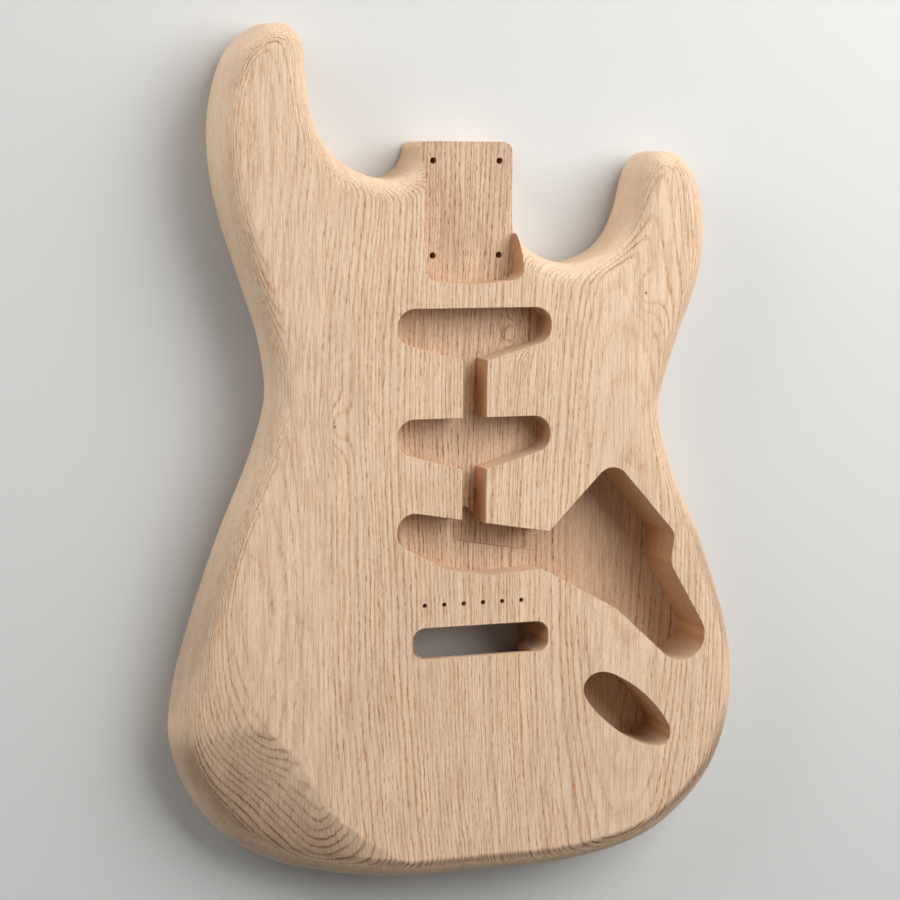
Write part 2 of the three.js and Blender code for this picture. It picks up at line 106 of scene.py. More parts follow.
def belt_outline(pins: Sequence[Pin]) -> Plan:
    """Runs an outline anticlockwise round pins like a belt.

    Args:
        pins: Corner centres with their radii.

    Returns:
        The points of the outline.
    """
    headings = []
    for pin, after in zip(pins, [*pins[1:], pins[0]]):
        distance = hypot(after.x - pin.x, after.y - pin.y)
        headings.append(atan2(after.y - pin.y, after.x - pin.x) + asin((pin.r - after.r) / distance))
    points = []
    for index, pin in enumerate(pins):
        arriving = headings[index - 1]
        turn = headings[index] - arriving
        sweep = atan2(sin(turn), cos(turn))
        count = CORNER_STEPS if pin.r else 0
        for step in range(count + 1):
            heading = arriving + (sweep * step / count if count else 0.0)
            points.append(Vector((pin.x + pin.r * sin(heading), pin.y - pin.r * cos(heading))))
    return points


def smooth_curve(knots: Sequence[Vector], closed: bool, steps: int) -> Plan:
    """Draws a centripetal Catmull-Rom curve through knots and spaces points evenly along it.

    Args:
        knots: Points that the curve passes through.
        closed: Whether it comes back to its first knot.
        steps: Number of equal steps along its length.

    Returns:
        The points, one more than steps for an open curve.
    """
    if closed:
        chain = [knots[-1], *knots, knots[0], knots[1]]
    else:
        chain = [2 * knots[0] - knots[1], *knots, 2 * knots[-1] - knots[-2]]
    dense = []
    for window in zip(chain, chain[1:], chain[2:], chain[3:]):
        before, first, second, after = window
        gaps = [max((b - a).length, TINY) ** 0.5 for a, b in zip(window, window[1:])]
        leave = ((first - before) / gaps[0] - (second - before) / (gaps[0] + gaps[1])
                 + (second - first) / gaps[1]) * gaps[1]
        arrive = ((second - first) / gaps[1] - (after - first) / (gaps[1] + gaps[2])
                  + (after - second) / gaps[2]) * gaps[1]
        for part in range(CURVE_PARTS):
            t = part / CURVE_PARTS
            dense.append(first * (2 * t**3 - 3 * t**2 + 1) + leave * (t**3 - 2 * t**2 + t)
                         + second * (3 * t**2 - 2 * t**3) + arrive * (t**3 - t**2))
    dense.append(chain[-2])
    lengths = arc_lengths(dense)
    points = []
    place = 0
    for step in range(steps if closed else steps + 1):
        wanted = lengths[-1] * step / steps
        while place < len(dense) - 2 and lengths[place + 1] < wanted:
            place += 1
        share = (wanted - lengths[place]) / max(lengths[place + 1] - lengths[place], TINY)
        points.append(dense[place].lerp(dense[place + 1], min(share, 1.0)))
    return points


def arc_lengths(points: Sequence[Vector]) -> list[float]:
    """Returns the length from the first point to each point."""
    steps = [(after - before).length for before, after in zip(points, points[1:])]
    return list(accumulate(steps, initial=0.0))


def quarter_turn(steps: int) -> list[float]:
    """Returns the angles of a quarter turn in equal steps."""
    return [pi / 2 * step / steps for step in range(steps + 1)]


def ease(share: float) -> float:
    """Eases a share smoothly from 0 to 1."""
    held = min(max(share, 0.0), 1.0)
    return held * held * (3 - 2 * held)


def widened(plan: Plan, amount: float) -> Plan:
    """Moves an anticlockwise outline outwards, square to its sides.

    Args:
        plan: Points of the outline.
        amount: How far each side moves.

    Returns:
        The points of the wider outline.
    """
    points = []
    for index, point in enumerate(plan):
        arriving = (point - plan[index - 1]).normalized()
        leaving = (plan[(index + 1) % len(plan)] - point).normalized()
        normals = [Vector((way.y, -way.x)) for way in (arriving, leaving)]
        miter = normals[0] + normals[1]
        points.append(point + miter * (amount / max(1 + normals[0].dot(normals[1]), MITER_LEAST)))
    return points


# Mesh work


def deselect_everything() -> None:
    """Goes back to object mode and deselects every object."""
    if bpy.context.object and bpy.context.object.mode != "OBJECT":
        bpy.ops.object.mode_set(mode="OBJECT")
    bpy.ops.object.select_all(action="DESELECT")


def pick(piece: Object) -> None:
    """Makes a piece the only selected and the active one.

    Args:
        piece: The piece that is picked.
    """
    deselect_everything()
    piece.select_set(True)
    bpy.context.view_layer.objects.active = piece


def grow_solid(name: str, rings: Sequence[Ring], material: Material) -> Object:
    """Grows a closed solid from a filled circle, by extruding its face once for each ring.

    Args:
        name: Name of the object.
        rings: Rings of equal length.
        material: Finish of its faces.

    Returns:
        The new object.
    """
    deselect_everything()
    bpy.ops.mesh.primitive_circle_add(vertices=len(rings[0]), radius=MM, fill_type="NGON")
    piece = bpy.context.active_object
    piece.name = name
    piece.data.materials.append(material)
    bpy.ops.object.mode_set(mode="EDIT")
    bpy.ops.mesh.select_all(action="SELECT")
    bm = bmesh.from_edit_mesh(piece.data)
    order = {vertex: index for index, vertex in enumerate(bm.verts)}
    for vertex, index in order.items():
        vertex.co = rings[0][index] * MM
    bmesh.update_edit_mesh(piece.data)
    for before, ring in zip(rings, rings[1:]):
        bpy.ops.mesh.extrude_region_move(TRANSFORM_OT_translate={"value": (ring[0] - before[0]) * MM})
        bm = bmesh.from_edit_mesh(piece.data)
        moved = {}
        for vertex in bm.verts:
            if vertex.select:
                others = (edge.other_vert(vertex) for edge in vertex.link_edges)
                moved[vertex] = order[next(other for other in others if not other.select)]
        for vertex, index in moved.items():
            vertex.co = ring[index] * MM
        order = moved
        bmesh.update_edit_mesh(piece.data)
    bpy.ops.mesh.select_all(action="SELECT")
    bpy.ops.mesh.normals_make_consistent(inside=False)
    bpy.ops.object.mode_set(mode="OBJECT")
    return piece


def prism(name: str, plan: Plan, bottom: float, top: float, material: Material) -> Object:
    """Makes an upright cutter with sharp edges over a plan outline."""
    return grow_solid(name, [[Vector((p.x, p.y, z)) for p in plan] for z in (bottom, top)], material)


def routed(name: str, plan: Plan, floor: float, rim: float, material: Material) -> Object:
    """Makes the cutter of a routed pocket, which leaves the pocket's rim softly rounded.

    Args:
        name: Name of the cutter.
        plan: Outline of the pocket, anticlockwise.
        floor: Height of its floor.
        rim: Height of the face that it is routed from.
        material: Finish of the routed faces.

    Returns:
        The cutter.
    """
    way = 1 if rim > floor else -1
    levels = [(0.0, floor)]
    for angle in map(radians, RIM_ANGLES):
        levels.append((RIM_RADIUS * (1 - cos(angle)), rim - way * RIM_RADIUS * (1 - sin(angle))))
    levels.append((levels[-1][0] + RIM_RADIUS, rim + way * OVERRUN))
    rings = [[Vector((p.x, p.y, height)) for p in widened(plan, offset)] for offset, height in levels]
    return grow_solid(name, rings, material)


def drilled(name: str, start: Place, end: Place, radius: float, material: Material) -> Object:
    """Makes a round cutter from one point to another, from a cylinder turned to lie along them.

    Args:
        name: Name of the cutter.
        start: Middle of its first end.
        end: Middle of its other end.
        radius: Radius of the hole.
        material: Finish of the drilled wall.

    Returns:
        The cutter.
    """
    first, last = Vector(start), Vector(end)
    axis = last - first
    deselect_everything()
    bpy.ops.mesh.primitive_cylinder_add(vertices=DRILL_SIDES, radius=radius * MM, depth=axis.length * MM,
                                        location=(0.0, 0.0, 0.0))
    cutter = bpy.context.active_object
    cutter.name = name
    turn = axis.to_track_quat("Z", "Y").to_matrix().to_4x4()
    cutter.data.transform(Matrix.Translation((first + last) / 2 * MM) @ turn)
    cutter.data.materials.append(material)
    return cutter


def cut(wood: Object, cutters: Sequence[Object]) -> None:
    """Cuts each solid out of the wood in turn, and throws the cutter away.

    Args:
        wood: The solid that is cut.
        cutters: The solids that are taken out of it. Their finishes pass to the faces that they leave.
    """
    for cutter in cutters:
        pick(wood)
        modifier = wood.modifiers.new(cutter.name, "BOOLEAN")
        modifier.operation = "DIFFERENCE"
        modifier.solver = "EXACT"
        modifier.material_mode = "TRANSFER"
        modifier.object = cutter
        bpy.ops.object.modifier_apply(modifier=modifier.name)
        bpy.data.objects.remove(cutter, do_unlink=True)


# The blank


@dataclass(frozen=True)
class Finishes:
    """The finishes of one board: sanded outside and routed inside."""

    sanded: Material
    routed: Material


@dataclass(frozen=True)
class Blank:
    """Sizes of the glued-up blank."""

    thickness: float = 44.5
    width: float = 323.7
    length: float = 463.2
    edge_radius: float = 12.7
    seam_x: float = -1.125


@dataclass(frozen=True)
class Heel:
    """Sizes of the heel that the neck is bolted to, from the bolt centre."""

    thickness: float = 28.6
    length: float = 35.6
    bass_side: float = 27.9
    treble_side: float = 26.4
    treble_root_y: float = -2.0
    root_straight: float = 3.0
    corner_radius: float = 5.5
    edge_radius: float = 1.5
    edge_run: float = 16.0
    edge_fade: float = 42.0
    tongue: float = 40.0
    bolt_spacing: tuple[float, float] = (38.1, 50.8)
    bolt_radius: float = 1.8

    def edge_x(self, side: Side) -> float:
        """Returns how far across the heel's edge lies on a side."""
        return side.value * (self.bass_side if side is Side.BASS else self.treble_side)


@dataclass
class Outline:
    """Plan outline of the body, with the direction that points inwards at each of its points.

    The shares, in ten-thousandths, give x as a share of the way from the heel's side to the body's side, and
    y as a share of the length.
    """

    blank: Blank
    heel: Heel
    steps: int = 700
    chord: int = 4
    bass_shares: Sequence[tuple[int, int]] = (
        (40, 598), (111, 548), (214, 499), (356, 453), (533, 410), (770, 371), (1066, 343), (1436, 337),
        (1932, 356), (2480, 404), (3065, 486), (3829, 686), (4361, 935), (4640, 1213), (4749, 1500),
        (4855, 1834), (5121, 1973), (5538, 2063), (6009, 2071), (6439, 2047), (7536, 1751), (8181, 1170),
        (8235, 580), (7913, -36), (7206, -751), (6481, -1476), (6234, -2074), (6356, -2336), (6940, -2900),
        (8055, -3748), (9281, -4915), (9766, -5496), (9960, -6087), (9407, -6682), (8253, -7178),
        (7439, -7389), (5610, -7672), (3581, -7811), (1439, -7903),
    )
    treble_shares: Sequence[tuple[int, int]] = (
        (-1329, -7925), (2804, -7897), (5909, -7693), (7632, -7375), (9022, -6917), (9790, -6361),
        (10022, -5746), (9758, -5152), (8452, -4002), (7126, -3176), (6514, -2586), (6465, -2310),
        (6691, -2006), (7356, -1447), (8082, -855), (8337, -269), (7944, 346), (7317, 598), (6874, 659),
        (6411, 670), (5931, 630), (5612, 516), (5380, 379), (5006, -39), (4573, -305), (3786, -525),
        (2502, -650), (1757, -630), (1162, -574), (663, -497), (312, -423), (141, -354), (59, -272),
        (8, -168),
    )
    points: Plan = field(init=False)
    inwards: Plan = field(init=False)

    def __post_init__(self) -> None:
        """Draws the outline anticlockwise from the heel's bass side, with a tongue beyond the heel's end."""
        heel = self.heel
        knots = [Vector((-heel.bass_side, heel.length - heel.corner_radius))]
        for side, shares in ((Side.BASS, self.bass_shares), (Side.TREBLE, self.treble_shares)):
            knots += [self.place((x / 10000, y / 10000), side) for x, y in shares]
        knots += [Vector((heel.treble_side, heel.treble_root_y + rise)) for rise in (0.0, heel.root_straight)]
        curve = smooth_curve(knots, False, self.steps)
        tongue = heel.length + heel.tongue
        self.points = [Vector((-heel.bass_side, tongue)), *curve, Vector((heel.treble_side, tongue))]
        self.inwards = []
        last = len(self.points) - 1
        for index in range(last + 1):
            along = self.points[min(index + self.chord, last)] - self.points[max(index - self.chord, 0)]
            along.normalize()
            self.inwards.append(Vector((-along.y, along.x)))

    def place(self, share: Share, side: Side) -> Vector:
        """Works out a place on one side of the body.

        Args:
            share: Its share of the way across and of the length.
            side: Side of the glue line.

        Returns:
            The place.
        """
        heel_x = self.heel.edge_x(side)
        body_x = side.value * self.blank.width / 2 + self.blank.seam_x
        return Vector((heel_x + share[0] * (body_x - heel_x), share[1] * self.blank.length))

    def nearest(self, target: Vector) -> int:
        """Returns the number of the outline point nearest to a place."""
        return min(range(len(self.points)), key=lambda index: (self.points[index] - target).length)

    def ring(self, inset: Callable[[int], float], height: Callable[[int], float]) -> Ring:
        """Returns the outline moved in by an amount at each point, at a height at each point."""
        return [Vector((point.x + inset(index) * inward.x, point.y + inset(index) * inward.y, height(index)))
                for index, (point, inward) in enumerate(zip(self.points, self.inwards))]


@dataclass
class RoundedBlank:
    """The blank sawn to its outline, with both edges rounded over."""

    outline: Outline

    def back_radii(self) -> list[float]:
        """Works out the radius of the back edge: small on the heel, full elsewhere.

        Returns:
            The radius at each point of the outline.
        """
        heel = self.outline.heel
        spread = self.outline.blank.edge_radius - heel.edge_radius
        lengths = arc_lengths(self.outline.points)
        first, last = lengths[1] + heel.edge_run, lengths[-2] - heel.edge_run
        return [heel.edge_radius + spread * ease(min(length - first, last - length) / heel.edge_fade)
                for length in lengths]

    def build(self, finish: Material) -> Object:
        """Grows the blank from its back to its top.

        Args:
            finish: Finish of its faces.

        Returns:
            The blank.
        """
        thickness = self.outline.blank.thickness
        radius = self.outline.blank.edge_radius
        back = self.back_radii()
        rings = [self.outline.ring(lambda index: back[index] * (1 - sin(angle)),
                                   lambda index: back[index] * (1 - cos(angle)))
                 for angle in quarter_turn(EDGE_STEPS)]
        rings += [self.outline.ring(lambda index: radius * (1 - cos(angle)),
                                    lambda index: thickness - radius * (1 - sin(angle)))
                  for angle in quarter_turn(EDGE_STEPS)]
        return grow_solid("blank", rings, finish)


# Contours, cavities and holes


class Cutting(ABC):
    """Something that is cut out of the wood."""

    @abstractmethod
    def cutters(self, finishes: Finishes) -> list[Object]:
        """Makes the solids that cut it.

        Args:
            finishes: Finishes that pass to the faces that are cut.

        Returns:
            The solids.
        """


@dataclass
class Contour(Cutting):
    """A contour planed along a stretch of the edge, with the new edge rounded over."""

    outline: Outline
    name: str
    face: Face
    start: Share
    peak: Share
    end: Share
    drop: float
    reach: float
    power: float = 1.35
    lift: float = 0.15
    steps: int = 14
    stride: int = 2

    def cutters(self, finishes: Finishes) -> list[Object]:
        """Makes the waste that planing the contour takes off.

        Args:
            finishes: Finishes that pass to the faces that are cut.

        Returns:
            The waste, in one solid.
        """
        outline = self.outline
        first, peak, last = (outline.nearest(outline.place(share, Side.BASS))
                             for share in (self.start, self.peak, self.end))
        lengths = arc_lengths(outline.points)
        sections = []
        for index in range(first, last + 1, self.stride):
            turning = lengths[first] if index < peak else lengths[last]
            sections.append(self.section(index, ease((lengths[index] - turning) / (lengths[peak] - turning))))
        return [grow_solid(self.name, sections, finishes.sanded)]

    def section(self, index: int, share: float) -> Ring:
        """Draws the section of the waste at one outline point.

        Args:
            index: Number of the outline point.
            share: Share of the full depth there.

        Returns:
            The section.
        """
        blank = self.outline.blank
        radius = blank.edge_radius
        face = blank.thickness if self.face is Face.TOP else 0.0
        depth = self.drop * share
        run = radius + (self.reach - radius) * share
        point, inward = self.outline.points[index], self.outline.inwards[index]

        def surface(inset: float) -> float:
            """Works out the height of the planed face.

            Args:
                inset: Distance in from the edge.

            Returns:
                The height.
            """
            planed = depth * max(1 - inset / run, 0.0) ** self.power - self.lift
            rounded = radius - sqrt(radius**2 - max(radius - inset, 0.0) ** 2)
            return face - self.face.value * (planed + rounded)

        insets = [-OVERRUN] + [radius * (1 - cos(angle)) for angle in quarter_turn(EDGE_STEPS)]
        insets += [radius + (run + OVERRUN - radius) * step / self.steps for step in range(1, self.steps + 1)]
        cut_side = [(inset, surface(max(inset, 0.0))) for inset in insets]
        waste_side = [(inset, face + self.face.value * OVERRUN) for inset in reversed(insets)]
        return [Vector((point.x + inset * inward.x, point.y + inset * inward.y, height))
                for inset, height in cut_side + waste_side]


@dataclass
class NeckPocket(Cutting):
    """The pocket for the neck, the heel's end and the four bolt holes."""

    blank: Blank
    heel: Heel
    bass_side: float = 28.1
    treble_side: float = 27.4
    reach: float = 40.4
    corner_radius: float = 7.0
    end_radius: float = 60.0
    end_bow: float = 1.7
    turn_step: int = 6

    def heel_corner(self, side: Side) -> Plan:
        """Returns a quarter turn from the heel's side to its end."""
        heel, turns = self.heel, [radians(degrees) for degrees in range(0, 91, self.turn_step)]
        return [Vector((heel.edge_x(side) - side.value * heel.corner_radius * (1 - cos(turn)),
                        heel.length + heel.corner_radius * (sin(turn) - 1))) for turn in turns]

    def cutters(self, finishes: Finishes) -> list[Object]:
        """Makes the cutters of the heel's end, the pocket and the bolt holes.

        Args:
            finishes: Finishes that pass to the faces that are cut.

        Returns:
            The cutters.
        """
        heel, top = self.heel, self.blank.thickness
        side = self.bass_side + OVERRUN
        near, far = heel.length - heel.corner_radius, heel.length + heel.tongue + OVERRUN
        end = [Vector((-side, near)), *self.heel_corner(Side.BASS), *reversed(self.heel_corner(Side.TREBLE)),
               Vector((side, near)), Vector((side, far)), Vector((-side, far))]
        corner_y = self.end_bow + self.corner_radius - self.reach
        pocket = belt_outline([
            Pin(self.corner_radius - self.bass_side, corner_y, self.corner_radius),
            Pin(0.0, self.end_radius - self.reach, self.end_radius),
            Pin(self.treble_side - self.corner_radius, corner_y, self.corner_radius),
            Pin(self.treble_side, far),
            Pin(-self.bass_side, far),
        ])
        across, along = (spacing / 2 for spacing in heel.bolt_spacing)
        return [
            prism("heel_end", end[::-1], -OVERRUN, top + OVERRUN, finishes.sanded),
            routed("neck_pocket", pocket, heel.thickness, top, finishes.routed),
            *(drilled("bolt_hole", (x, y, -OVERRUN), (x, y, heel.thickness + OVERRUN), heel.bolt_radius,
                      finishes.routed) for x in (-across, across) for y in (-along, along)),
        ]


@dataclass
class PickupCavities(Cutting):
    """Three single-coil cavities, the channel between them and the wiring step."""

    blank: Blank
    half_length: float = 44.0
    end_radius: float = 9.6
    end_height: float = 20.0
    reach: float = 28.0
    depth: float = 16.2
    channel_width: float = 13.46
    neck_y: float = -53.2
    middle_y: float = -112.4
    bridge: tuple[float, float] = (1.4, -169.3)
    bridge_tilt: float = -9.7
    foot_half: float = 12.0
    foot_radius: float = 3.0
    mouth_length: float = 46.0
    mouth_height: float = 20.3
    step_depth: float = 5.3
    step_radius: float = 6.4
    step_ledge: float = 0.4

    def coil_plan(self, y: float) -> Plan:
        """Draws the outline of an upright cavity.

        Args:
            y: Height in plan of its straight edge.

        Returns:
            The outline.
        """
        corner = self.half_length - self.end_radius
        low = y + self.end_radius - self.end_height
        return belt_outline([
            Pin(-corner, low, self.end_radius),
            Pin(-self.channel_width / 2, y - self.reach),
            Pin(self.channel_width / 2, y - self.reach),
            Pin(corner, low, self.end_radius),
            Pin(corner, y - self.end_radius, self.end_radius),
            Pin(-corner, y - self.end_radius, self.end_radius),
        ])

    def bridge_pin(self, along: float, across: float, radius: float = 0.0) -> Pin:
        """Returns a pin given along and across the tilted cavity."""
        turn = radians(self.bridge_tilt)
        return Pin(self.bridge[0] + along * cos(turn) - across * sin(turn),
                   self.bridge[1] + along * sin(turn) + across * cos(turn), radius)

    def cutters(self, finishes: Finishes) -> list[Object]:
        """Makes the cutters of the cavities, the channel and the wiring step.

        Args:
            finishes: Finishes that pass to the faces that are cut.

        Returns:
            The cutters.
        """
        top, finish = self.blank.thickness, finishes.routed
        floor = top - self.depth
        corner = self.half_length - self.end_radius
        half = self.channel_width / 2
        slanted = belt_outline([
            self.bridge_pin(-corner, self.end_radius - self.end_height, self.end_radius),
            self.bridge_pin(-self.foot_half, self.foot_radius - self.reach, self.foot_radius),
            self.bridge_pin(self.foot_half, self.foot_radius - self.reach, self.foot_radius),
            self.bridge_pin(self.mouth_length, -self.mouth_height),
            self.bridge_pin(self.mouth_length, 0.0),
            self.bridge_pin(-corner, -self.end_radius, self.end_radius),
        ])
        upper, lower = self.neck_y - self.reach / 2, self.bridge[1] - self.end_radius
        channel = [Vector(place) for place in ((-half, lower), (half, lower), (half, upper), (-half, upper))]
        step = belt_outline([
            self.bridge_pin(-self.bridge[0], -self.step_radius - self.step_ledge, self.step_radius),
            self.bridge_pin(self.half_length, -self.step_radius - self.step_ledge, self.step_radius),
            self.bridge_pin(half - self.bridge[0], -self.step_ledge / 2),
            Pin(0.0, self.bridge[1], self.step_radius),
        ])
        return [
            routed("neck_cavity", self.coil_plan(self.neck_y), floor, top, finish),
            routed("middle_cavity", self.coil_plan(self.middle_y), floor, top, finish),
            routed("bridge_cavity", slanted, floor, top, finish),
            routed("channel", channel, floor, top, finish),
            prism("wiring_step", step, floor - self.step_depth, floor + OVERRUN, finish),
        ]


@dataclass
class ControlCavity(Cutting):
    """The deep cavity for the switch and the potentiometers."""

    blank: Blank
    corner: tuple[float, float] = (41.0, -142.6)
    wall: float = 21.125
    height: float = 111.2
    floor: float = 6.4
    pin_shares: Sequence[tuple[float, float, float]] = (
        (0.0, -0.494, 0.0), (0.394, -0.789, -0.1014), (0.855, -0.873, 0.143), (0.924, -0.477, -0.142),
        (0.715, -0.369, 0.0811), (0.411, -0.09, 0.1014), (0.038, -0.302, 0.0),
    )

    def pins(self) -> list[Pin]:
        """Returns the cavity's corner centres."""
        width = self.blank.width / 2 + self.blank.seam_x - self.corner[0] - self.wall
        return [Pin(self.corner[0] + x * width, self.corner[1] + y * self.height, r * width)
                for x, y, r in self.pin_shares]

    def cutters(self, finishes: Finishes) -> list[Object]:
        """Returns the cavity's cutter, with the routed finish."""
        plan = belt_outline(self.pins())
        return [routed("control_cavity", plan, self.floor, self.blank.thickness, finishes.routed)]


@dataclass
class JackCavity(Cutting):
    """The oval cavity for the jack."""

    blank: Blank
    inset: float = 67.525
    y: float = -280.1
    length: float = 62.6
    width: float = 25.4
    tilt: float = -38.0
    floor: float = 8.5
    steps: int = 96
    shares: Sequence[Share] = (
        (-0.998, -0.2), (-0.94, -0.5), (-0.82, -0.7), (-0.64, -0.84), (-0.38, -0.95), (-0.08, -1.0),
        (0.22, -0.985), (0.49, -0.885), (0.72, -0.735), (0.88, -0.54), (0.97, -0.3), (1.0, 0.0),
        (0.945, 0.34), (0.81, 0.58), (0.56, 0.79), (0.26, 0.94), (-0.06, 1.0), (-0.4, 0.95), (-0.69, 0.81),
        (-0.88, 0.57), (-0.985, 0.2),
    )

    def centre(self) -> Vector:
        """Returns the middle of the cavity."""
        return Vector((self.blank.width / 2 + self.blank.seam_x - self.inset, self.y))

    def cutters(self, finishes: Finishes) -> list[Object]:
        """Makes the cavity's cutter.

        Args:
            finishes: Finishes that pass to the faces that are cut.

        Returns:
            The cutter.
        """
        turn = Matrix.Rotation(radians(self.tilt), 2)
        places = [Vector((along * self.length / 2, across * self.width / 2)) for along, across in self.shares]
        plan = [turn @ point + self.centre() for point in smooth_curve(places, True, self.steps)]
        return [routed("jack_cavity", plan, self.floor, self.blank.thickness, finishes.routed)]


@dataclass
class BridgeMortise(Cutting):
    """The tremolo's slot, spring cavity, sloped wall and screw holes."""

    blank: Blank
    slot: tuple[float, float] = (4.7, -234.85)
    slot_size: tuple[float, float] = (78.6, 17.0)
    slot_radius: float = 6.8
    slot_lip: float = 4.6
    slope_height: float = 0.5
    slope_inset: float = 0.4
    spring_depth: float = 17.0
    spring_width: float = 57.0
    spring_end_y: float = -100.0
    block_top_y: float = -213.0
    block_height: float = 39.5
    spring_radius: float = 6.5
    screw_y: float = -213.7
    screw_spacing: float = 11.2
    screw_count: int = 6
    screw_radius: float = 1.3
    screw_depth: float = 18.0
    claw_spacing: float = 38.0
    claw_radius: float = 1.6
    claw_depth: float = 32.0

    def slot_plan(self) -> Plan:
        """Returns the outline of the slot."""
        centre, (dx, dy) = Vector(self.slot), (size / 2 - self.slot_radius for size in self.slot_size)
        return belt_outline([Pin(centre.x + x, centre.y + y, self.slot_radius)
                             for x, y in ((-dx, -dy), (dx, -dy), (dx, dy), (-dx, dy))])

    def spring_plan(self) -> Plan:
        """Draws the outline of the spring cavity, which widens to the slot's breadth for the block.

        Returns:
            The outline.
        """
        x, r = self.slot[0], self.spring_radius
        spring, block = self.spring_width / 2, self.slot_size[0] / 2
        end = self.block_top_y - self.block_height
        return belt_outline([
            Pin(x + r - block, end + r, r),
            Pin(x + block - r, end + r, r),
            Pin(x + block - r, self.block_top_y - r, r),
            Pin(x + spring, self.block_top_y),
            Pin(x + spring - r, self.spring_end_y - r, r),
            Pin(x + r - spring, self.spring_end_y - r, r),
            Pin(x - spring, self.block_top_y),
            Pin(x + r - block, self.block_top_y - r, r),
        ])

    def slope(self, finish: Material) -> Object:
        """Makes the cutter of the sloped wall on the tail side of the slot.

        Args:
            finish: Finish of the wall.

        Returns:
            The cutter.
        """
        (x, y), low = self.slot, self.slope_height
        slot_end = y - self.slot_size[1] / 2
        foot = self.block_top_y - self.block_height + self.slope_inset
        top = self.blank.thickness - self.slot_lip
        half = self.slot_size[0] / 2 - self.slot_radius
        section = ((y, low), (y, top), (slot_end, top), (foot, low))
        ends = [[Vector((x + way, *place)) for place in section] for way in (-half, half)]
        return grow_solid("slope", ends, finish)

    def cutters(self, finishes: Finishes) -> list[Object]:
        """Makes the cutters of the slot, the springs' space, the slope and the screw holes.

        Args:
            finishes: Finishes that pass to the faces that are cut.

        Returns:
            The cutters.
        """
        top, finish = self.blank.thickness, finishes.routed
        middle = (self.screw_count - 1) / 2
        screws = [(index - middle) * self.screw_spacing for index in range(self.screw_count)]
        claw = [self.slot[0] + way * self.claw_spacing / 2 for way in (-1, 1)]
        start, end = self.spring_end_y - OVERLAP, self.spring_end_y + self.claw_depth
        z = self.spring_depth / 2
        return [
            routed("tremolo_slot", self.slot_plan(), z, top, finish),
            routed("spring_cavity", self.spring_plan(), self.spring_depth, 0.0, finish),
            self.slope(finish),
            *(drilled("bridge_screw_hole", (x, self.screw_y, top - self.screw_depth),
                      (x, self.screw_y, top + OVERLAP), self.screw_radius, finish) for x in screws),
            *(drilled("claw_screw_hole", (x, start, z), (x, end, z), self.claw_radius, finish) for x in claw),
        ]


@dataclass
class WireWays(Cutting):
    """The drilled ways from the springs and from the jack into the control cavity."""

    mortise: BridgeMortise
    control: ControlCavity
    jack: JackCavity
    ground_y: float = -188.0
    ground_rise: float = 4.6
    ground_radius: float = 2.0
    jack_rise: float = 9.6
    jack_radius: float = 4.0

    def cutters(self, finishes: Finishes) -> list[Object]:
        """Makes the cutters of the two drilled ways.

        Args:
            finishes: Finishes that pass to the faces that are cut.

        Returns:
            The cutters.
        """
        finish, y = finishes.routed, self.ground_y
        ground_z, jack_z = self.control.floor + self.ground_rise, self.control.floor + self.jack_rise
        end, jack = self.control.pins()[2], self.jack.centre()
        spring_side = self.mortise.slot[0] + self.mortise.spring_width / 2
        return [
            drilled("ground_wire_hole", (spring_side - OVERRUN, y, ground_z),
                    (self.control.corner[0] + OVERRUN, y, ground_z), self.ground_radius, finish),
            drilled("jack_wire_hole", (end.x, end.y, jack_z), (jack.x, jack.y, jack_z), self.jack_radius,
                    finish),
        ]


# Shader nodes


@dataclass(frozen=True)
class Grain:
    """A 3-D noise in the wood: its waves in a millimetre across and along the grain, detail and roughness."""

    across: float
    along: float
    detail: float = 2.0
    roughness: float = 0.5


